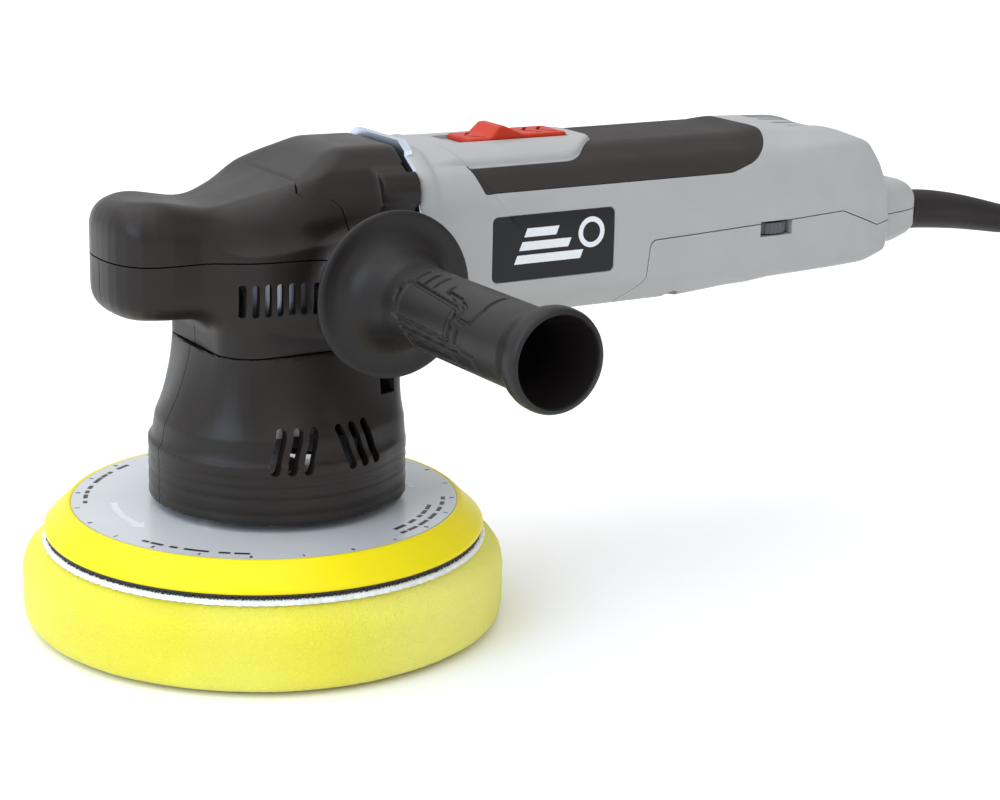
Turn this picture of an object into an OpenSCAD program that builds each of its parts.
// Dual action polisher: a mains powered random orbit polisher with a foam pad.
// Frame: origin on the spindle axis in the pad's working face, +Z up, +X towards the mains lead.

/* [Pad stack] */
// Foam pad diameter
pad_d = 165; // [140:1:200]
// Foam pad thickness
pad_h = 28; // [20:1:40]
// Diameter of the foam face that carries the loop fabric
pad_top_d = 152; // [130:1:160]
// Backing plate diameter
plate_d = 150; // [120:1:155]
// Backing plate thickness
plate_h = 9.2; // [7:0.1:14]
// Thickness of the loop fabric on the foam
loop_h = 1.9; // [1:0.1:3]
// Thickness of the hook layer under the plate
hook_h = 1.6; // [1:0.1:3]
// Label disc diameter
label_d = 132; // [90:1:136]
// Diameter of the orbit
orbit_d = 8; // [5:0.5:15]
// Air gap between the plate and the skirt
skirt_gap = 3.5; // [2.5:0.1:6]

/* [Head] */
// Height of the skirt
skirt_h = 53; // [45:1:65]
// Diameter of the skirt's bottom ring
skirt_d = 87.8; // [84:0.2:110]
// Wall of the skirt and the gear head
head_wall = 3; // [2:0.1:4]
// Reach of the nose in front of the spindle
nose_len = 66; // [60:1:85]
// Width of the nose
nose_w = 44; // [36:1:50]
// Width of the gear head
head_w = 64; // [63:1:76]
// Place of the gear head's rear face behind the spindle
head_back = 38; // [37:1:46]
// Thickness of the gear case's joint flange
flange_t = 3; // [2:0.5:5]

/* [Gears] */
// Teeth of the crown gear, a multiple of 4
crown_teeth = 36; // [32:4:40]
// Teeth of the pinion
pinion_teeth = 12; // [8:4:16]
// Pitch radius of the crown gear at mid face
crown_r = 20.5; // [18:0.5:21]

/* [Motor housing] */
// Width of the motor housing
body_w = 64; // [62:1:76]
// Length of the housing from the joint flange to the lead's exit
body_len = 240; // [225:1:280]
// Wall of the motor housing
body_wall = 3; // [2.6:0.1:4]
// Depth of the rubber grip's inlay
rubber_t = 1.4; // [0.8:0.1:1.8]
// Diameter of the stator
stator_d = 53; // [48:0.5:53]
// Length of the stator stack
stator_len = 44; // [30:1:50]
// Diameter of the armature core
armature_d = 29.4; // [24:0.2:30]
// Forward travel of the power slider
slider_travel = 6; // [4:0.5:7]

/* [Side handle] */
// Place of the handle sockets behind the spindle
socket_x = 16.5; // [12:0.5:18]
// Length of the handle from its seat to the open end
handle_len = 112; // [95:1:140]
// Diameter of the hand guard flange
guard_d = 55; // [48:1:70]
// Diameter of the grip beside the guard
grip_d = 25; // [24:0.5:32]
// Diameter of the open end's rim
grip_end_d = 32; // [30:0.5:38]
// Tapping drill diameter of the M8 socket thread
socket_thread_d = 6.8; // [6:0.1:9]

/* [Mains lead] */
// Diameter of the mains lead
lead_d = 8; // [6:0.5:10]

/* [Hidden] */
$fn = 64;
eps = 0.1;

// Named clearances
run_gap = 0.05;    // shaft in a bearing, radial
free_gap = 0.4;    // moving piece beside a fixed one
slip_gap = 0.05;   // piece that slides into a seat
seam_gap = 0.3;    // open seam between two covers
screw_slip = 0.02; // screw in its hole

// Heights of the pad stack
foam_top = pad_h;
loop_top = foam_top + loop_h;
hook_top = loop_top + hook_h;
plate_top = hook_top + plate_h;
skirt_z = plate_top + skirt_gap;
seam_z = skirt_z + skirt_h;
motor_z = seam_z + 32.8;
ecc = orbit_d / 2;

// Pad arbor and its bearings (26 x 10 x 8)
arbor_r = 5;
arbor_bearing_r = 13;
arbor_bearing_w = 8;
stud_r = 3.97;
hub_r = 12;
label_t = 0.5;
hub_bottom = hook_top + 2;
hub_top = skirt_z + 7.8;
arbor_flange_r = 9;
arbor_flange_h = 14;
arbor_seat = hub_top + arbor_flange_h;
low_bearing_z = arbor_seat + 1.2;
block_z = low_bearing_z - 1.2;
block_top = seam_z - 2;
high_bearing_z = block_top - 13.2;
block_r = arbor_bearing_r + 5;
weight_z = hub_top + 1;
weight_r0 = arbor_flange_r + ecc + 2;
weight_r1 = skirt_d / 2 - head_wall - 8;
weight_angle = 60;

// Spindle and its bearings (35 x 15 x 11 below, 18 x 12 x 8 above)
spindle_r = 7.5;
spindle_top_r = 6;
low_seat_z = motor_z - 30;
low_bearing_r = 17.5;
low_bearing_w = 11;
retainer_t = 2.8;
retainer_spots = [0, 90, 180, 270];
case_r = 26;
case_wall = 2.2;
case_floor = low_seat_z + low_bearing_w + 1.6;
case_top = motor_z + 12;
top_bearing_r = 9;
top_bearing_w = 8;
top_bearing_z = motor_z + 2.5;

// Face gear pair
tooth_pitch = 2 * PI * crown_r / crown_teeth;
pinion_r = crown_r * pinion_teeth / crown_teeth;
addendum = 0.7;
dedendum = 0.85;
face_w = 3.8;
crown_tip_z = motor_z - pinion_r + addendum;
crown_root_z = motor_z - pinion_r - dedendum;
crown_body_h = 7.6;
crown_tooth_w = tooth_pitch * 0.34;
clip_z = crown_root_z + 0.05;

// Motor along X
joint_x = head_back + flange_t;
back_x = joint_x + body_len;
shaft_r = 5;
tail_r = 4;
front_bearing_r = 13;
front_bearing_w = 8;
front_bearing_x = head_back - 10;
pinion_x = crown_r - face_w / 2;
fan_x = joint_x + 15;
fan_w = 10;
fan_r = 20.5;
baffle_x = joint_x + 43;
baffle_t = 2.5;
stator_x = joint_x + 57;
stator_end = stator_x + stator_len;
stator_flat = 24.3;
coil_out = 10;
pole_angle = 118;
commutator_x = stator_end + 11;
commutator_w = 13;
commutator_r = 10;
rear_bearing_r = 11;
rear_bearing_w = 7;
rear_bearing_x = commutator_x + commutator_w + 4;
shaft_end = rear_bearing_x + rear_bearing_w + 2;
brush_x = commutator_x + commutator_w / 2;
brush_w = 8;
brush_h = 6;
brush_len = 9;
holder_out = 26;

// Housing outline, heights from the motor axis
body_top = 29.5;
body_bottom = -30.5;
rib_x = [stator_x + 6, stator_x + 14];
rib_t = 3;

// Badge in its recess, heights from the motor axis
badge_x0 = joint_x + 25.5;
badge_x1 = joint_x + 75;
badge_low = -15.5;
badge_high = 7;
badge_depth = 0.6;

// Power slider on the top, rod to the switch
slider_x0 = joint_x + 22;
slider_x1 = slider_x0 + 49;
slider_w = 16;
plateau_top = body_top + 1.1;
pocket_z = body_top - 1.4;
slider_top = body_top + 0.8;
hump_x = slider_x0 + 18;
hump_top = body_top + 4;
stem_x = slider_x0 + 11;
stem_w = 6;
arm_z = 21;
rod_y = body_w / 2 - body_wall - 9.5;
rod_w = 3.5;
rod_z = 18.5;
rod_h = 3;
switch_x = back_x - 89;

// Speed dial at the side seam
dial_x = back_x - 92;
dial_r = 9.5;
dial_h = 4;
dial_y = -20.3;
dial_z = -9;
dial_ribs = 30;

// Board, clamp, gland
board_x0 = dial_x - 3;
board_x1 = dial_x + 35;
board_z = -17;
board_t = 1.6;
lead_z = -12;
lead_r = lead_d / 2;
clamp_x = back_x - 38;
clamp_w = 8;
gland_r = 7.4;
gland_flange_r = 11.3 - body_wall;
gland_flange_x = back_x - body_wall - 1.4;

// Side handle
socket_z = motor_z - 10;
insert_r = 7;
insert_in = 24;
socket_face = head_w / 2 + 6;
boss_r = 17;
metal_boss_r = 10;
stud_len = 34;
grip_wall = 2.2;

// Neck, skirt and their slots; the skirt's screws stand in the corners of the neck
neck_front = -29.5;
neck_back = head_back - 2;
neck_corner = 10;
vent_count = 7;
vent_pitch = 4;
slot_lean = 17;
skirt_ring_h = 9;
flare_top = seam_z - 22;
skirt_boss_w = 6.8;
skirt_boss_h = 9;
skirt_spots = [
  for (x = [neck_front + 7.1, neck_back - 7.1], side = [-1, 1]) [x, side * (head_w / 2 - 10.1)]
];

// Joint screws, as [y, z from the motor axis]
joint_screws = [[25.5, 18], [-25.5, 18], [24, -19], [-24, -19]];
screw_r = 2;
screw_head_r = 3.8;
screw_boss_r = 6.6;
screw_boss_len = 15;
screw_reach = 18;

// Rear cover screws, as [x from the lead's exit, y]
cover_screw_spots = [[-134, 22], [-134, -22], [-52, 15], [-52, -15]];
cover_screw_head_z = -22;
cover_screw_len = 27;
lug_low = -5;
lug_high = 10;

// Mains lead: route of its free stretch, in the plane Y = 0
lead_route = [
  [back_x + 50, motor_z - 20.4], [340, 107.6], [352, 103.6], [364, 97.4], [375, 89], [385, 78.5], [394, 66.5],
  [402, 53.5], [410, 40.5], [419, 28.5], [429, 19], [438, 13]
];
// Strain relief: its bent centre line, as [x from the exit, z from the motor axis, radius]
relief_route = [
  [0.8, -12, 7.7], [8, -12.7, 7.6], [17, -13.9, 7.3], [26, -15.4, 6.9], [34, -17, 6.5],
  [42, -18.7, 6.1], [50, -20.4, 5.7]
];
coil_x = 470;
coil_y = -58;
coil_r0 = 30;
coil_r1 = 62;
coil_h = 28.8;
tie_w = 12;
tie_t = 1.2;
plug_x = 403;
plug_y = coil_y - 78;
plug_len = 50;
plug_w = 37;
plug_h = 26;

// ---------- shared shapes ----------

// Cylinder along X from x0 to x1
module cyl_x(r, x0, x1, y = 0, z = motor_z) {
  translate([x0, y, z]) rotate([0, 90, 0]) cylinder(r = r, h = x1 - x0);
}

// Cylinder along Y from y0 to y1
module cyl_y(r, y0, y1, x = 0, z = motor_z) {
  translate([x, y0, z]) rotate([-90, 0, 0]) cylinder(r = r, h = y1 - y0);
}

// Cylinder along Z from z0 to z1
module cyl_z(r, z0, z1, x = 0, y = 0) {
  translate([x, y, z0]) cylinder(r = r, h = z1 - z0);
}

module ring_x(r_out, r_in, x0, x1) {
  difference() {
    cyl_x(r_out, x0, x1);
    cyl_x(r_in, x0 - 1, x1 + 1);
  }
}

module ring_z(r_out, r_in, z0, z1, x = 0) {
  difference() {
    cyl_z(r_out, z0, z1, x);
    cyl_z(r_in, z0 - 1, z1 + 1, x);
  }
}

// Box given by its low and high corners
module box(low, high) {
  translate(low) cube(high - low);
}

// Profile drawn in (y, z from the motor axis), pulled along X
module along_x(x0, x1) {
  translate([x0, 0, motor_z]) rotate([90, 0, 90]) linear_extrude(x1 - x0) children();
}

// Profile drawn in (x, z from the motor axis), pulled along Y
module along_y(y0, y1) {
  translate([0, y1, motor_z]) rotate([90, 0, 0]) linear_extrude(y1 - y0) children();
}

// Rectangle with true round corners, from low to high
module round_rect(low, high, r) {
  translate(low + [r, 0]) square([high.x - low.x - 2 * r, high.y - low.y]);
  translate(low + [0, r]) square([high.x - low.x, high.y - low.y - 2 * r]);
  for (x = [low.x + r, high.x - r], y = [low.y + r, high.y - r]) {
    translate([x, y]) circle(r = r);
  }
}

// A ball bearing as a solid ring with a shallow seal groove on both faces, along Z from 0
module bearing(r_out, r_in, w) {
  mid = (r_out + r_in) / 2;
  groove = (r_out - r_in) * 0.25;
  difference() {
    cylinder(r = r_out, h = w);
    translate([0, 0, -1]) cylinder(r = r_in, h = w + 2);
    for (z = [-1, w - 0.4]) {
      translate([0, 0, z]) difference() {
        cylinder(r = mid + groove, h = 1.4);
        translate([0, 0, -1]) cylinder(r = mid - groove, h = 4);
      }
    }
  }
}

// Pan head screw along +Z: the head sits below 0, with a cross recess
module screw(head_r, head_h, r, len) {
  difference() {
    translate([0, 0, -head_h]) cylinder(r = head_r, h = head_h);
    for (a = [0, 90]) {
      rotate(a) translate([-head_r * 0.55, -0.4, -head_h - 1]) cube([head_r * 1.1, 0.8, 2]);
    }
  }
  translate([0, 0, -eps]) cylinder(r = r, h = len + eps);
}

// Rings of a tube along a route in the plane Y = 0; each point is [x, z, radius]
function tangent(route, i) =
  let (a = route[max(i - 1, 0)], b = route[min(i + 1, len(route) - 1)], d = [b.x - a.x, b.y - a.y])
  d / norm(d);
function tube_ring(p, t, r, sides) =
  [for (k = [0 : sides - 1])
    let (a = 360 * k / sides)
    [p.x - t.y * r * sin(a), r * cos(a), p.y + t.x * r * sin(a)]];
module tube(route, radii, sides) {
  rings = len(route);
  points = [for (i = [0 : rings - 1]) each tube_ring(route[i], tangent(route, i), radii[i], sides)];
  walls = [for (i = [0 : rings - 2], k = [0 : sides - 1])
    let (a = i * sides + k, b = i * sides + (k + 1) % sides)
    [a, a + sides, b + sides, b]];
  first = [[for (k = [0 : sides - 1]) k]];
  last = [[for (k = [sides - 1 : -1 : 0]) (rings - 1) * sides + k]];
  polyhedron(points = points, faces = concat(first, walls, last), convexity = 4);
}

// Helical wire along Z, for a small compression spring
module spring(r, wire_r, turns, height) {
  steps = 12;
  sides = 6;
  count = turns * steps;
  points = [for (i = [0 : count], k = [0 : sides - 1])
    let (a = 360 * i / steps, b = 360 * k / sides, q = r + wire_r * cos(b))
    [q * cos(a), q * sin(a), wire_r + (height - 2 * wire_r) * i / count + wire_r * sin(b)]];
  walls = [for (i = [0 : count - 1], k = [0 : sides - 1])
    let (a = i * sides + k, b = i * sides + (k + 1) % sides)
    [a, b, b + sides, a + sides]];
  first = [[for (k = [sides - 1 : -1 : 0]) k]];
  last = [[for (k = [0 : sides - 1]) count * sides + k]];
  polyhedron(points = points, faces = concat(first, walls, last), convexity = 8);
}

// ---------- pad stack ----------

module foam_pad() {
  edge = 2.5;
  shoulder = foam_top - 6;
  color("khaki") translate([-ecc, 0, 0]) rotate_extrude() polygon([
    [0, 0], [pad_d / 2 - edge, 0], [pad_d / 2, edge], [pad_d / 2, shoulder],
    [pad_top_d / 2, foam_top], [0, foam_top]
  ]);
}

module loop_layer() {
  color("white") cyl_z(plate_d / 2 + 0.5, foam_top, loop_top, -ecc);
}

module hook_layer() {
  color("black") cyl_z(plate_d / 2 - 0.5, loop_top, hook_top, -ecc);
}

// Soft moulded plate with a bevelled rim; the steel hub sits in its middle
module backing_plate() {
  rim = 2.2;
  color("yellow") translate([-ecc, 0, 0]) rotate_extrude() polygon([
    [0, hook_top], [plate_d / 2, hook_top], [plate_d / 2, hook_top + rim],
    [label_d / 2 + 1.5, plate_top], [label_d / 2, plate_top], [label_d / 2, plate_top - label_t],
    [hub_r, plate_top - label_t], [hub_r, hub_bottom], [0, hub_bottom]
  ]);
}

module plate_label() {
  color("silver") ring_z(label_d / 2 - 0.1, hub_r + 7, plate_top - label_t, plate_top, -ecc);
}

module plate_hub() {
  color("gray") translate([-ecc, 0, 0]) difference() {
    cyl_z(hub_r, hub_bottom, hub_top);
    cyl_z(stud_r + screw_slip, hub_bottom - 1, hub_top + 1);
  }
}

module pad_arbor() {
  thread_len = hub_top - hub_bottom - 3;
  color("lightgray") translate([-ecc, 0, 0]) difference() {
    union() {
      cyl_z(stud_r, hub_top - thread_len, hub_top + eps);
      cyl_z(arbor_flange_r - 1.5, hub_top, hub_top + 6);
      cyl_z(arbor_flange_r, hub_top + 5, arbor_seat - 0.4);
      cyl_z(arbor_r, arbor_seat - 1, high_bearing_z + arbor_bearing_w);
    }
    cyl_z(screw_r + screw_slip, high_bearing_z - 4, high_bearing_z + arbor_bearing_w + 1);
    for (side = [-1, 1]) {
      translate([side * (arbor_flange_r + 1), 0, hub_top + 3]) cube([5, 30, 6.2], center = true);
    }
  }
}

module arbor_screw() {
  top = high_bearing_z + arbor_bearing_w;
  color("dimgray") translate([-ecc, 0, top + 1]) {
    translate([0, 0, -1]) difference() {
      cylinder(r = 6.6, h = 1);
      translate([0, 0, -1]) cylinder(r = screw_r - eps, h = 3);
    }
    mirror([0, 0, 1]) screw(screw_head_r, 2.4, screw_r, 11);
  }
}

module arbor_bearings() {
  color("silver") for (z = [low_bearing_z, high_bearing_z]) {
    translate([-ecc, 0, z]) bearing(arbor_bearing_r, arbor_r + run_gap, arbor_bearing_w);
  }
}

module bearing_circlip() {
  color("dimgray") difference() {
    ring_z(arbor_bearing_r - slip_gap, arbor_bearing_r - 2.4, block_z, low_bearing_z, -ecc);
    translate([-ecc - 3, -arbor_bearing_r - 1, block_z - 1]) cube([6, 6, 4]);
  }
}

// ---------- spindle ----------

module spindle() {
  pocket_top = block_top - 1.2;
  color("silver") difference() {
    union() {
      cyl_z(block_r, block_z, block_top, -ecc);
      cyl_z(weight_r0 + 3, block_z, block_z + 3);
      cyl_z(spindle_r, block_top - eps, low_seat_z + low_bearing_w);
      cyl_z(spindle_top_r, low_seat_z, top_bearing_z + top_bearing_w - 0.5);
      cyl_z(spindle_r + 1.8, block_top - eps, low_seat_z);
    }
    cyl_z(arbor_bearing_r, block_z - 1, low_bearing_z + arbor_bearing_w, -ecc);
    cyl_z(arbor_bearing_r - 1.5, block_z, high_bearing_z + eps, -ecc);
    cyl_z(arbor_bearing_r, high_bearing_z, high_bearing_z + arbor_bearing_w, -ecc);
    cyl_z(screw_head_r + 4, high_bearing_z, pocket_top, -ecc);
    ring_z(spindle_top_r + 1, spindle_top_r - 0.6, clip_z, clip_z + 1);
  }
}

// Sector on the side away from the pad's axis
module counterweight() {
  color("gray") difference() {
    rotate(-weight_angle) rotate_extrude(angle = 2 * weight_angle)
      translate([weight_r0, weight_z]) square([weight_r1 - weight_r0, block_z - weight_z]);
    for (a = [-35, 35]) {
      rotate(a) translate([weight_r1 - 6, 0, weight_z - 1]) cylinder(r = 2.5, h = 4);
    }
  }
}

module crown_gear() {
  blank_r = crown_r + face_w / 2 + 0.4;
  color("goldenrod") difference() {
    union() {
      cyl_z(blank_r, crown_root_z - crown_body_h, crown_root_z);
      for (k = [0 : crown_teeth - 1]) {
        rotate((k + 0.5) * 360 / crown_teeth)
          box([crown_r - face_w / 2, -crown_tooth_w / 2, crown_root_z - eps],
              [crown_r + face_w / 2, crown_tooth_w / 2, crown_tip_z]);
      }
    }
    cyl_z(spindle_top_r, crown_root_z - crown_body_h - 1, crown_root_z + 1);
    for (a = [0 : 60 : 300]) {
      rotate(a + 30) cyl_z(2.2, crown_root_z - crown_body_h - 1, crown_root_z + 1, 12);
    }
  }
}

module gear_circlip() {
  color("dimgray") difference() {
    ring_z(spindle_top_r + 1.6, spindle_top_r - 0.5, clip_z, clip_z + 1);
    box([-1.5, -spindle_top_r - 3, clip_z - 1], [1.5, 0, clip_z + 2]);
  }
}

module lower_spindle_bearing() {
  color("silver") translate([0, 0, low_seat_z]) bearing(low_bearing_r, spindle_r + run_gap, low_bearing_w);
}

module upper_spindle_bearing() {
  color("silver") translate([0, 0, top_bearing_z])
    bearing(top_bearing_r, spindle_top_r + run_gap, top_bearing_w);
}

module bearing_retainer() {
  color("darkgray") difference() {
    ring_z(case_r - 1, spindle_r + 1.8 + free_gap, low_seat_z - retainer_t, low_seat_z);
    for (a = retainer_spots) {
      rotate(a) cyl_z(1.5 + screw_slip, low_seat_z - retainer_t - 1, low_seat_z + 1, case_r - 5);
    }
  }
}

module retainer_screws() {
  color("dimgray") for (a = retainer_spots) {
    rotate(a) translate([case_r - 5, 0, low_seat_z - retainer_t]) screw(2.6, 1.6, 1.5, 10);
  }
}

// ---------- gear head ----------

// Outlines of the head: from the side, from above and from behind
module head_side() {
  polygon([
    [-nose_len, -11], [-nose_len, 7], [5 - nose_len, 15], [14 - nose_len, 18], [-36, 17.5],
    [-26, 16], [-16, 18], [-5, 23.5], [7, 29.5], [17, 32.5], [head_back, 32.5],
    [head_back, -24], [-31, -23], [16 - nose_len, -22.5], [6 - nose_len, -19]
  ]);
}

module head_plan() {
  n = nose_w / 2;
  h = head_w / 2;
  translate([n - nose_len, 0]) circle(r = n, $fn = 32);
  polygon([
    [n - nose_len, -n], [-28, -n - 1], [-6, -h + 1.5], [4, -h], [head_back, -h],
    [head_back, h], [4, h], [-6, h - 1.5], [-28, n + 1], [n - nose_len, n]
  ]);
}

module head_section() {
  h = head_w / 2;
  polygon([
    [3 - h, -24], [-h, -18], [-h, 11], [5.5 - h, 25], [-15, 32.5],
    [15, 32.5], [h - 5.5, 25], [h, 11], [h, -18], [h - 3, -24]
  ]);
}

// The neck's rounded rectangle in plan, pulled in by inset
module neck_plan(inset) {
  round_rect([neck_front + inset, 3 + inset - head_w / 2],
             [neck_back - inset, head_w / 2 - 3 - inset], neck_corner - inset);
}

module head_solid(inset) {
  intersection() {
    along_y(-head_w, head_w) offset(delta = -inset) head_side();
    translate([0, 0, motor_z - 40]) linear_extrude(80) offset(delta = -inset) head_plan();
    along_x(-nose_len - 5, head_back + 5) offset(delta = -inset) head_section();
  }
}

// Cover region in side view: above the nose's parting line, up to the S shaped seam
module cover_region(grow) {
  offset(delta = grow) polygon([
    [-nose_len - 9, -1], [12, -1], [10, 10], [8, 17.5], [4, 20.5], [-3, 21], [-1, 25], [-9, 40],
    [-nose_len - 9, 40]
  ]);
}

module head_shell() {
  difference() {
    union() {
      head_solid(0);
      translate([0, 0, seam_z]) linear_extrude(10) neck_plan(0);
      cyl_y(boss_r, 0.8 - socket_face, socket_face - 0.8, socket_x, socket_z);
      for (s = joint_screws) {
        cyl_x(screw_boss_r, head_back - screw_boss_len, head_back, s.x, motor_z + s.y);
      }
    }
    difference() {
      union() {
        head_solid(head_wall);
        along_x(head_back - head_wall - 1, head_back + 1) offset(delta = -head_wall) head_section();
      }
      for (s = joint_screws) {
        cyl_x(screw_boss_r, head_back - screw_boss_len, head_back, s.x, motor_z + s.y);
      }
    }
    cyl_y(metal_boss_r + slip_gap, -head_w, head_w, socket_x, socket_z);
    difference() {
      translate([0, 0, seam_z - 1]) linear_extrude(14) neck_plan(head_wall);
      skirt_bosses(seam_z, seam_z + skirt_boss_h);
    }
  }
}

module gear_head() {
  color([0.2, 0.18, 0.17]) difference() {
    head_shell();
    along_y(-head_w, head_w) cover_region(seam_gap);
    for (k = [0 : vent_count - 1], side = [-1, 1]) {
      x = -25 + k * vent_pitch;
      y = side * (nose_w / 2 + 4);
      translate([x, y, motor_z - 13]) cube([1.8, 20, 10], center = true);
    }
    for (s = joint_screws) {
      cyl_x(screw_r + screw_slip, 0, head_back + 1, s.x, motor_z + s.y);
      cyl_x(screw_head_r + 0.4, 0, head_back - screw_boss_len + 5, s.x, motor_z + s.y);
    }
    for (s = skirt_spots) {
      cyl_z(1.5 + screw_slip, seam_z - 1, seam_z + skirt_boss_h, s.x, s.y);
    }
  }
}

module head_cover() {
  color([0.22, 0.2, 0.19]) intersection() {
    difference() {
      head_solid(0);
      head_solid(head_wall);
    }
    along_y(-head_w, head_w) cover_region(0);
  }
}

// Cast case round the gears, with the front bearing's tube and the joint flange
module gear_case() {
  color("gainsboro") difference() {
    union() {
      cyl_z(case_r, low_seat_z, case_top);
      cyl_x(front_bearing_r + 3.5, 10, joint_x);
      along_x(head_back, joint_x) {
        offset(delta = -0.8) head_section();
        intersection() {
          offset(delta = 0.5) head_section();
          translate([-20, 20]) square([40, 20]);
        }
      }
      cyl_y(metal_boss_r, -socket_face, socket_face, socket_x, socket_z);
    }
    difference() {
      union() {
        cyl_z(case_r - case_wall, case_floor, case_top - 1.5);
        cyl_x(pinion_r + addendum + 1.5, 10, front_bearing_x + 1);
      }
      cyl_z(top_bearing_r + 2.5, top_bearing_z - 0.6, case_top);
    }
    cyl_z(low_bearing_r, low_seat_z - 1, low_seat_z + low_bearing_w);
    cyl_z(spindle_r + 1.2, low_seat_z, case_floor + 1);
    cyl_z(top_bearing_r, top_bearing_z - 1, top_bearing_z + top_bearing_w);
    cyl_x(front_bearing_r, front_bearing_x, joint_x + 1);
    for (side = [-1, 1]) {
      cyl_y(insert_r, side > 0 ? insert_in : -socket_face - 1, side > 0 ? socket_face + 1 : -insert_in,
            socket_x, socket_z);
    }
    for (a = retainer_spots) {
      rotate(a) cyl_z(1.5 + screw_slip, low_seat_z - 1, low_seat_z + 9, case_r - 5);
    }
    for (s = joint_screws) {
      cyl_x(screw_r + screw_slip, head_back - 1, joint_x + 1, s.x, motor_z + s.y);
    }
    for (y = [-21, 21], z = [-6, 6]) {
      cyl_x(3.5, head_back - 1, joint_x + 1, y, motor_z + z);
    }
  }
}

module socket_inserts() {
  color("silver") for (side = [-1, 1]) {
    y0 = side > 0 ? insert_in : -socket_face;
    difference() {
      cyl_y(insert_r, y0, y0 + socket_face - insert_in, socket_x, socket_z);
      cyl_y(socket_thread_d / 2, y0 - 1, y0 + socket_face - insert_in + 1, socket_x, socket_z);
    }
  }
}

// The four corner bosses between two heights
module skirt_bosses(z0, z1) {
  intersection() {
    translate([0, 0, z0]) linear_extrude(z1 - z0) neck_plan(head_wall - 0.2);
    for (s = skirt_spots) {
      translate([s.x, s.y, (z0 + z1) / 2]) cube([skirt_boss_w, skirt_boss_w, z1 - z0], center = true);
    }
  }
}

// Outside of the skirt, pulled in by inset: bottom ring, flare and neck
module skirt_solid(inset) {
  r = skirt_d / 2 - inset;
  rotate_extrude() polygon([
    [0, skirt_z], [r, skirt_z], [r, skirt_z + skirt_ring_h], [r - 1, skirt_z + skirt_ring_h + 8],
    [head_w / 2 - 2 - inset, flare_top], [0, flare_top]
  ]);
  translate([0, 0, skirt_z + skirt_ring_h]) linear_extrude(skirt_h - skirt_ring_h) neck_plan(inset);
}

module skirt() {
  color([0.2, 0.18, 0.17]) difference() {
    skirt_solid(0);
    difference() {
      union() {
        translate([0, 0, -eps]) skirt_solid(head_wall);
        translate([0, 0, 1]) linear_extrude(seam_z) neck_plan(head_wall);
      }
      skirt_bosses(seam_z - skirt_boss_h, seam_z);
    }
    cyl_z(skirt_d / 2 - head_wall, skirt_z - 1, skirt_z + 5);
    for (s = skirt_spots) {
      cyl_z(1.5 + screw_slip, seam_z - skirt_boss_h - 1, seam_z + 1, s.x, s.y);
    }
    for (side = [-1, 1], lean = [-1, 1], k = [0 : 2]) {
      x = lean * (6.3 + 5.2 * k) - 0.7;
      translate([x, side * 40, skirt_z + 21]) rotate([0, -lean * slot_lean, 0])
        cube([2.6, 24, 17], center = true);
    }
  }
}

module skirt_screws() {
  color("dimgray") for (s = skirt_spots) {
    translate([s.x, s.y, seam_z - skirt_boss_h]) screw(2.8, 1.8, 1.5, 2 * skirt_boss_h - 2);
  }
}

// ---------- side handle ----------

module side_handle() {
  seat = socket_face;
  guard = 15.5;
  neck = 33;
  r_grip = grip_d / 2;
  color([0.21, 0.2, 0.2]) translate([socket_x, -seat, socket_z]) rotate([90, 0, 0]) rotate_extrude() polygon([
    [stud_r + slip_gap, 0], [13, 0], [15, 4], [guard_d / 2 - 4, guard - 4.5],
    [guard_d / 2, guard - 2.5], [guard_d / 2, guard], [guard_d / 2 - 6, guard - 1],
    [r_grip + 6, guard + 3], [r_grip + 1.5, guard + 9], [r_grip, neck - 12], [r_grip, neck],
    [r_grip + 1, handle_len - 16], [grip_end_d / 2 - 0.6, handle_len - 9],
    [grip_end_d / 2, handle_len - 5], [grip_end_d / 2 - 0.8, handle_len],
    [grip_end_d / 2 - grip_wall, handle_len], [r_grip - grip_wall, handle_len - 16],
    [r_grip - grip_wall, neck + 6], [stud_r + slip_gap, neck + 6]
  ]);
}

module handle_stud() {
  color("silver") {
    cyl_y(socket_thread_d / 2 - slip_gap, -socket_face - 1, -insert_in - 1, socket_x, socket_z);
    cyl_y(stud_r, -socket_face - stud_len, -socket_face, socket_x, socket_z);
  }
}

// ---------- motor ----------

module front_bearing() {
  color("silver") translate([front_bearing_x, 0, motor_z]) rotate([0, 90, 0])
    bearing(front_bearing_r, shaft_r + run_gap, front_bearing_w);
}

module rear_bearing() {
  color("silver") translate([rear_bearing_x, 0, motor_z]) rotate([0, 90, 0])
    bearing(rear_bearing_r, tail_r + run_gap, rear_bearing_w);
}

module bearing_bracket() {
  color([0.3, 0.3, 0.32]) difference() {
    intersection() {
      body_solid(body_wall);
      box([rear_bearing_x, -50, 0], [rear_bearing_x + rear_bearing_w, 50, 400]);
    }
    cyl_x(rear_bearing_r, 0, back_x);
    rod_notch();
    for (y = [-20, 20], z = [-9, 8]) {
      cyl_x(5, 0, back_x, y, motor_z + z);
    }
  }
}

module pinion() {
  tip = addendum + pinion_r;
  root = pinion_r - dedendum;
  root_half = tooth_pitch * 0.2;
  tip_half = tooth_pitch * 0.11;
  color("goldenrod") difference() {
    translate([pinion_x - 0.2, 0, motor_z]) rotate([90, 0, 90]) linear_extrude(face_w + 2.4) union() {
      circle(r = root);
      for (k = [0 : pinion_teeth - 1]) {
        rotate(k * 360 / pinion_teeth - 90) polygon([
          [root - 0.5, -root_half], [tip, -tip_half], [tip, tip_half], [root - 0.5, root_half]
        ]);
      }
    }
    cyl_x(tail_r, 0, head_back);
  }
}

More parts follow.
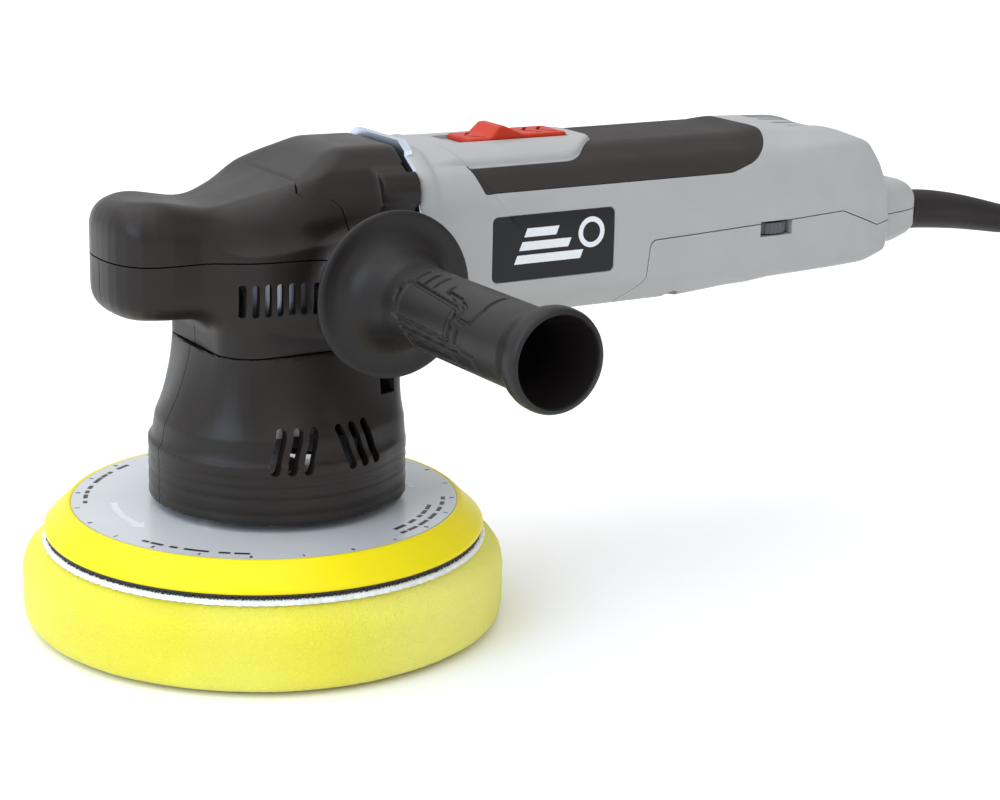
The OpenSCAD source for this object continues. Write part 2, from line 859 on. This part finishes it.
module armature_shaft() {
  color("silver") {
    cyl_x(tail_r, pinion_x - 1, pinion_x + face_w + 2.4);
    cyl_x(shaft_r, pinion_x + face_w + 2.2, commutator_x + commutator_w + 1);
    cyl_x(tail_r, commutator_x + commutator_w + 1 - eps, shaft_end);
  }
}

module armature_core() {
  slots = 12;
  color("darkgray") difference() {
    cyl_x(armature_d / 2, stator_x, stator_end);
    cyl_x(shaft_r, stator_x - 1, stator_end + 1);
    for (k = [0 : slots - 1]) {
      translate([stator_x - 1, 0, motor_z]) rotate([k * 360 / slots, 0, 0])
        box([0, -0.8, armature_d / 2 - 4.5], [stator_len + 2, 0.8, armature_d]);
    }
  }
}

module armature_windings() {
  color("peru") {
    ring_x(armature_d / 2 - 2, shaft_r, stator_x - 8, stator_x);
    ring_x(armature_d / 2 - 2, shaft_r, stator_end, stator_end + 8);
  }
}

module commutator() {
  bars = 24;
  color("chocolate") difference() {
    ring_x(commutator_r, shaft_r, commutator_x, commutator_x + commutator_w);
    for (k = [0 : bars - 1]) {
      translate([commutator_x - 1, 0, motor_z]) rotate([k * 360 / bars, 0, 0])
        box([0, -0.25, commutator_r - 0.5], [commutator_w + 2, 0.25, commutator_r + 1]);
    }
  }
}

module fan() {
  blades = 12;
  color("dimgray") {
    ring_x(10, shaft_r, fan_x, fan_x + fan_w);
    ring_x(fan_r, 9, fan_x + fan_w - 1.6, fan_x + fan_w);
    for (k = [0 : blades - 1]) {
      translate([fan_x, 0, motor_z]) rotate([k * 360 / blades, 0, 0])
        box([0, -0.6, 9], [fan_w - 1, 0.6, fan_r - 0.5]);
    }
  }
}

module air_baffle() {
  color("dimgray") difference() {
    intersection() {
      body_solid(body_wall);
      box([baffle_x, -50, 0], [baffle_x + baffle_t, 50, 400]);
    }
    cyl_x(fan_r - 2, 0, back_x);
    rod_notch();
  }
}

// Back iron with flats and two pole shoes; the coils lie between the poles
module stator_core() {
  color("slategray") difference() {
    intersection() {
      cyl_x(stator_d / 2, stator_x, stator_end);
      box([0, -50, motor_z - stator_flat], [back_x, 50, motor_z + stator_flat]);
    }
    cyl_x(armature_d / 2 + free_gap, stator_x - 1, stator_end + 1);
    for (side = [0, 180]) {
      coil_sector(side, stator_x - 1, stator_end + 1, 0, 0);
    }
  }
}

// One coil's room above or below the armature, less a gap in degrees and a radial one
module coil_sector(side, x0, x1, side_gap, gap) {
  half = (180 - pole_angle) / 2 - side_gap;
  translate([x0, 0, motor_z]) rotate([90, 0, 90]) rotate(side + 90 - half)
    rotate_extrude(angle = 2 * half) translate([armature_d / 2 + free_gap + 0.5 + gap, 0])
      square([5.5 - 2 * gap, x1 - x0]);
}

module field_coils() {
  color("peru") for (side = [0, 180]) {
    coil_sector(side, stator_x - coil_out, stator_end + coil_out, 0.5, slip_gap);
  }
}

module brush_holders() {
  inner = commutator_r + 1;
  wall = 1.5;
  color("darkgoldenrod") for (side = [0, 180]) {
    translate([brush_x, 0, motor_z]) rotate([side, 0, 0]) difference() {
      box([-brush_w / 2 - wall, inner, -brush_h / 2 - wall],
          [brush_w / 2 + wall, holder_out, brush_h / 2 + wall]);
      box([-brush_w / 2, inner - 1, -brush_h / 2],
          [brush_w / 2, holder_out - wall, brush_h / 2]);
    }
  }
}

module carbon_brushes() {
  inner = commutator_r + 0.15;
  color("black") for (side = [0, 180]) {
    translate([brush_x, 0, motor_z]) rotate([side, 0, 0])
      box([slip_gap - brush_w / 2, inner, slip_gap - brush_h / 2],
          [brush_w / 2 - slip_gap, inner + brush_len, brush_h / 2 - slip_gap]);
  }
}

module brush_springs() {
  start = commutator_r + 0.15 + brush_len;
  color("silver") for (side = [-1, 1]) {
    translate([brush_x, side * start, motor_z]) rotate([-90 * side, 0, 0])
      spring(2, 0.3, 4, holder_out - 1.5 - start);
  }
}

// ---------- motor housing ----------

module body_side() {
  polygon([
    [joint_x, body_bottom], [joint_x + 109, body_bottom], [back_x - 66, -27], [back_x - 23, -24],
    [back_x - 3, -23.5], [back_x, -20], [back_x, -3], [back_x - 5, 2.5], [back_x - 18, 3.5],
    [back_x - 24, 12], [back_x - 31, 20], [back_x - 43, 25.5], [back_x - 61, body_top],
    [joint_x, body_top]
  ]);
}

module body_plan() {
  h = body_w / 2;
  half = [
    [joint_x, h - 1], [joint_x + 30, h], [joint_x + 109, h], [back_x - 91, h - 2], [back_x - 46, h - 5],
    [back_x - 29, h - 9], [back_x - 18, 18], [back_x - 4, 17], [back_x, 14]
  ];
  polygon(concat(half, [for (i = [len(half) - 1 : -1 : 0]) [half[i].x, -half[i].y]]));
}

module body_section() {
  h = body_w / 2;
  polygon([
    [9 - h, body_bottom], [-h, -21], [-h, 14], [3 - h, 21], [9 - h, 26.5], [-14, body_top],
    [14, body_top], [h - 9, 26.5], [h - 3, 21], [h, 14], [h, -21], [h - 9, body_bottom]
  ]);
}

module body_solid(inset) {
  intersection() {
    along_y(-body_w, body_w) offset(delta = -inset) body_side();
    translate([0, 0, motor_z - 40]) linear_extrude(80) offset(delta = -inset) body_plan();
    along_x(0, back_x + 5) offset(delta = -inset) body_section();
  }
}

// Rear cover region in side view
module cover_below(grow) {
  offset(delta = grow) polygon([
    [joint_x + 80, -45], [joint_x + 80, -31], [joint_x + 90, -20], [joint_x + 91.5, -8],
    [joint_x + 94, -5.5], [back_x - 59, -3.5], [back_x - 40, -10.5], [back_x - 25, -7],
    [back_x + 9, -7.5], [back_x + 9, -45]
  ]);
}

// Rubber inlay region in side view
module rubber_region() {
  polygon([
    [joint_x + 22, 15.5], [joint_x + 131, 15.5], [joint_x + 141, 23], [joint_x + 146, 31],
    [joint_x + 146, 40], [joint_x + 76, 40], [joint_x + 76, 29], [joint_x + 68, 21.5],
    [joint_x + 20, 21.5]
  ]);
}

module rod_notch() {
  box([0, rod_y - free_gap, motor_z + rod_z - free_gap],
      [back_x, rod_y + rod_w + free_gap, motor_z + arm_z + 3]);
}

module body_shell() {
  difference() {
    union() {
      difference() {
        body_solid(0);
        along_y(-body_w, body_w) rubber_region();
      }
      body_solid(rubber_t);
    }
    body_solid(body_wall);
    along_x(joint_x - 1, joint_x + body_wall + 1) offset(delta = -body_wall) body_section();
    cyl_x(gland_r, back_x - 12, back_x + 5, 0, motor_z + lead_z);
  }
}

module stator_ribs() {
  difference() {
    intersection() {
      body_solid(body_wall - 0.2);
      for (x = rib_x) {
        box([x, -50, 0], [x + rib_t, 50, 400]);
      }
    }
    cyl_x(stator_d / 2 + slip_gap, 0, back_x);
    rod_notch();
  }
}

module housing_bosses() {
  intersection() {
    body_solid(body_wall - 0.2);
    for (s = joint_screws) {
      cyl_x(screw_boss_r - 1, joint_x, joint_x + 14, s.x, motor_z + s.y);
    }
  }
}

// Raised surround of the power slider
module plateau() {
  along_x(joint_x + 14, joint_x + 74) polygon([
    [-15, body_top - 2.5], [-13, plateau_top], [13, plateau_top], [15, body_top - 2.5]
  ]);
}

module slider_pocket() {
  box([slider_x0 - slider_travel - free_gap, -slider_w / 2 - free_gap, motor_z + pocket_z],
      [slider_x1 + free_gap, slider_w / 2 + free_gap, motor_z + 60]);
  box([stem_x - slider_travel - free_gap, -stem_w / 2 - free_gap, motor_z + 20],
      [stem_x + stem_w + free_gap, stem_w / 2 + free_gap, motor_z + 60]);
}

module rear_vents() {
  for (y = [-9, 0, 9]) {
    box([back_x - 73, y - 1.3, motor_z + 20], [back_x - 42, y + 1.3, motor_z + 40]);
  }
}

module motor_housing() {
  color([0.7, 0.7, 0.7]) difference() {
    union() {
      body_shell();
      stator_ribs();
      housing_bosses();
      cover_lugs();
      plateau();
    }
    along_y(-body_w, body_w) cover_below(seam_gap);
    slider_pocket();
    rear_vents();
    box([badge_x0, -body_w, motor_z + badge_low], [badge_x1, badge_depth - body_w / 2, motor_z + badge_high]);
    for (s = joint_screws) {
      cyl_x(screw_r + screw_slip, joint_x - 1, joint_x + screw_reach, s.x, motor_z + s.y);
    }
    for (s = cover_screw_spots) {
      cyl_z(1.5 + screw_slip, motor_z - 9, motor_z + lug_high - 2, back_x + s.x, s.y);
    }
    dial_window();
  }
}

// Lugs on the housing's side walls that take the rear cover's screws
module cover_lugs() {
  intersection() {
    body_solid(body_wall - 0.2);
    for (s = cover_screw_spots) {
      y0 = s.y > 0 ? s.y - 3.5 : -body_w;
      box([back_x + s.x - 3.5, y0, motor_z + lug_low],
          [back_x + s.x + 3.5, s.y > 0 ? body_w : s.y + 3.5, motor_z + lug_high]);
    }
  }
}

module dial_window() {
  box([dial_x - 7.5, -body_w, motor_z + dial_z - 0.6],
      [dial_x + 7.5, dial_y, motor_z + dial_z + dial_h + 0.6]);
}

module rear_cover() {
  color([0.68, 0.68, 0.68]) difference() {
    union() {
      intersection() {
        difference() {
          body_solid(0);
          body_solid(body_wall);
        }
        along_y(-body_w, body_w) cover_below(0);
      }
      intersection() {
        body_solid(body_wall - 0.2);
        union() {
          for (s = cover_screw_spots) {
            cyl_z(4, motor_z - 40, motor_z + lug_low - seam_gap, back_x + s.x, s.y);
          }
          for (x = [board_x0 + 4, board_x1 - 4]) {
            cyl_z(3, motor_z - 40, motor_z + board_z, x, 0);
          }
          for (y = [-9, 9]) {
            cyl_z(3.5, motor_z - 40, motor_z - 9, clamp_x + clamp_w / 2, y);
          }
          box([clamp_x, -9, motor_z - 40], [clamp_x + clamp_w, 9, motor_z + lead_z - lead_r]);
        }
      }
    }
    cyl_x(gland_r, back_x - 12, back_x + 5, 0, motor_z + lead_z);
    for (s = cover_screw_spots) {
      cyl_z(1.5 + screw_slip, motor_z - 45, motor_z, back_x + s.x, s.y);
      cyl_z(3.4, motor_z - 45, motor_z + cover_screw_head_z, back_x + s.x, s.y);
    }
    for (y = [-9, 9]) {
      cyl_z(1.2 + screw_slip, motor_z - 20, motor_z, clamp_x + clamp_w / 2, y);
    }
    dial_window();
  }
}

module rubber_grip() {
  color([0.24, 0.22, 0.21]) difference() {
    intersection() {
      body_solid(0);
      along_y(-body_w, body_w) rubber_region();
    }
    body_solid(rubber_t);
    plateau();
    slider_pocket();
  }
}

module badge() {
  color([0.1, 0.1, 0.12])
    box([badge_x0 + 0.3, -body_w / 2 - 0.3, motor_z + badge_low + 0.3],
        [badge_x1 - 0.3, badge_depth - body_w / 2, motor_z + badge_high - 0.3]);
}

module housing_screws() {
  color("dimgray") for (s = joint_screws) {
    translate([head_back - screw_boss_len + 5, s.x, motor_z + s.y]) rotate([0, 90, 0])
      screw(screw_head_r, 2.6, screw_r, screw_boss_len - 5 + flange_t + screw_reach - 2);
  }
}

module cover_screws() {
  color("dimgray") for (s = cover_screw_spots) {
    translate([back_x + s.x, s.y, motor_z + cover_screw_head_z]) screw(3.2, 2, 1.5, cover_screw_len);
  }
}

// ---------- switch and speed control ----------

module switch_slider() {
  color("orangered") {
    box([slider_x0, -slider_w / 2, motor_z + pocket_z + 0.2],
        [slider_x1, slider_w / 2, motor_z + slider_top]);
    along_y(-slider_w / 2, slider_w / 2) polygon([
      [hump_x - 9, slider_top - 0.5], [hump_x - 1, hump_top], [hump_x + 2, hump_top - 0.2],
      [hump_x + 12, slider_top - 0.5]
    ]);
    for (k = [0 : 3]) {
      translate([slider_x1 - 16 + 4 * k, 0, motor_z + slider_top]) for (side = [-1, 1]) {
        rotate(side * 35) translate([0, side * 2.6, 0]) cube([1, 6, 0.8], center = true);
      }
    }
  }
}

module switch_rod() {
  color("dimgray") {
    box([stem_x, -stem_w / 2, motor_z + arm_z], [stem_x + stem_w, stem_w / 2, motor_z + pocket_z + 0.2]);
    box([stem_x, -stem_w / 2, motor_z + arm_z], [stem_x + stem_w, rod_y + 1.5, motor_z + arm_z + 2.6]);
    box([stem_x, rod_y, motor_z + rod_z], [switch_x - 2, rod_y + rod_w, motor_z + rod_z + rod_h]);
  }
}

module switch_module() {
  color([0.25, 0.25, 0.28]) {
    box([switch_x, 2, motor_z + 4], [switch_x + 24, 19, motor_z + 20]);
    box([switch_x + 4, 6, motor_z - 3], [switch_x + 6, 8, motor_z + 4 + eps]);
    box([switch_x + 16, 6, motor_z - 3], [switch_x + 18, 8, motor_z + 4 + eps]);
  }
}

module control_board() {
  color("seagreen") {
    box([board_x0, -17, motor_z + board_z], [board_x1, 17, motor_z + board_z + board_t]);
    box([dial_x + 14, -8, motor_z + board_z], [dial_x + 24, 6, motor_z + board_z + 9]);
    cyl_z(5, motor_z + board_z, motor_z + board_z + 12, dial_x + 28, -6);
  }
}

module dial_pot() {
  color("black") {
    box([dial_x - 3, dial_y - 3, motor_z + board_z + board_t], [dial_x + 7, dial_y + 7, motor_z + dial_z - 0.2]);
    cyl_z(2.5, motor_z + dial_z - 1, motor_z + dial_z + dial_h, dial_x, dial_y);
  }
}

module speed_dial() {
  color([0.35, 0.35, 0.36]) difference() {
    cyl_z(dial_r, motor_z + dial_z, motor_z + dial_z + dial_h, dial_x, dial_y);
    cyl_z(2.5 + run_gap, motor_z + dial_z - 1, motor_z + dial_z + dial_h + 1, dial_x, dial_y);
    for (k = [0 : dial_ribs - 1]) {
      translate([dial_x, dial_y, motor_z + dial_z - 1]) rotate(k * 360 / dial_ribs)
        translate([dial_r + 0.3, 0, 0]) cylinder(r = 0.75, h = dial_h + 2);
    }
  }
}

// ---------- mains lead ----------

module lead_clamp() {
  z0 = motor_z - 9;
  color("dimgray") difference() {
    box([clamp_x, -12.5, z0], [clamp_x + clamp_w, 12.5, z0 + 4]);
    cyl_x(lead_r + slip_gap, clamp_x - 1, clamp_x + clamp_w + 1, 0, motor_z + lead_z);
    for (y = [-9, 9]) {
      cyl_z(1.2 + screw_slip, z0 - 1, z0 + 5, clamp_x + clamp_w / 2, y);
    }
  }
}

module clamp_screws() {
  color("silver") for (y = [-9, 9]) {
    translate([clamp_x + clamp_w / 2, y, motor_z - 5]) mirror([0, 0, 1]) screw(2.4, 1.4, 1.2, 11);
  }
}

// Gland flange inside the exit, then the tapered sleeve; the lead's inner end runs to the clamp
module strain_relief() {
  path = [for (p = relief_route) [back_x + p.x, motor_z + p.y]];
  radii = [for (p = relief_route) p[2]];
  color([0.13, 0.12, 0.12]) {
    cyl_x(lead_r, clamp_x - 6, back_x - 8, 0, motor_z + lead_z);
    cyl_x(gland_flange_r, back_x - 8, gland_flange_x, 0, motor_z + lead_z);
    cyl_x(gland_r - slip_gap, gland_flange_x - eps, back_x + 1.5, 0, motor_z + lead_z);
    tube(path, radii, 24);
  }
}

module mains_lead() {
  color([0.1, 0.1, 0.1]) tube(lead_route, [for (p = lead_route) lead_r], 12);
}

module coil_solid(inset) {
  translate([coil_x, coil_y, 0]) rotate_extrude() translate([coil_r0 + inset, max(inset, 0)])
    square([coil_r1 - coil_r0 - 2 * inset, coil_h - inset - max(inset, 0)]);
}

module tie_slab() {
  box([coil_x, coil_y - tie_w / 2, -1], [coil_x + coil_r1 + 5, coil_y + tie_w / 2, coil_h + 5]);
}

module lead_coil() {
  color([0.12, 0.12, 0.12]) difference() {
    coil_solid(0);
    difference() {
      tie_slab();
      coil_solid(tie_t);
    }
  }
}

module coil_tie() {
  color("black") difference() {
    intersection() {
      tie_slab();
      coil_solid(-0.5);
    }
    coil_solid(tie_t);
  }
}

// Rubber contour plug with two round pins, lying flat beside the coil
module plug() {
  pin_len = 19;
  pin_r = 2.4;
  pin_gap = 19;
  z = plug_h / 2;
  color([0.12, 0.12, 0.12]) {
    linear_extrude(plug_h)
      round_rect([plug_x - plug_len, plug_y - plug_w / 2], [plug_x, plug_y + plug_w / 2], 9);
    translate([plug_x - eps, plug_y, z]) rotate([0, 90, 0]) cylinder(r1 = 8, r2 = 5.2, h = 25 + eps);
    for (side = [-1, 1]) {
      cyl_x(pin_r, plug_x - plug_len - pin_len, plug_x - plug_len + eps, plug_y + side * pin_gap / 2, z);
    }
  }
}

foam_pad();
loop_layer();
hook_layer();
backing_plate();
plate_label();
plate_hub();
pad_arbor();
arbor_screw();
arbor_bearings();
bearing_circlip();
spindle();
counterweight();
crown_gear();
gear_circlip();
lower_spindle_bearing();
upper_spindle_bearing();
bearing_retainer();
retainer_screws();
gear_case();
socket_inserts();
gear_head();
head_cover();
skirt();
skirt_screws();
side_handle();
handle_stud();
front_bearing();
rear_bearing();
bearing_bracket();
pinion();
armature_shaft();
armature_core();
armature_windings();
commutator();
fan();
air_baffle();
stator_core();
field_coils();
brush_holders();
carbon_brushes();
brush_springs();
motor_housing();
rear_cover();
rubber_grip();
badge();
housing_screws();
cover_screws();
switch_slider();
switch_rod();
switch_module();
control_board();
dial_pot();
speed_dial();
lead_clamp();
clamp_screws();
strain_relief();
mains_lead();
lead_coil();
coil_tie();
plug();
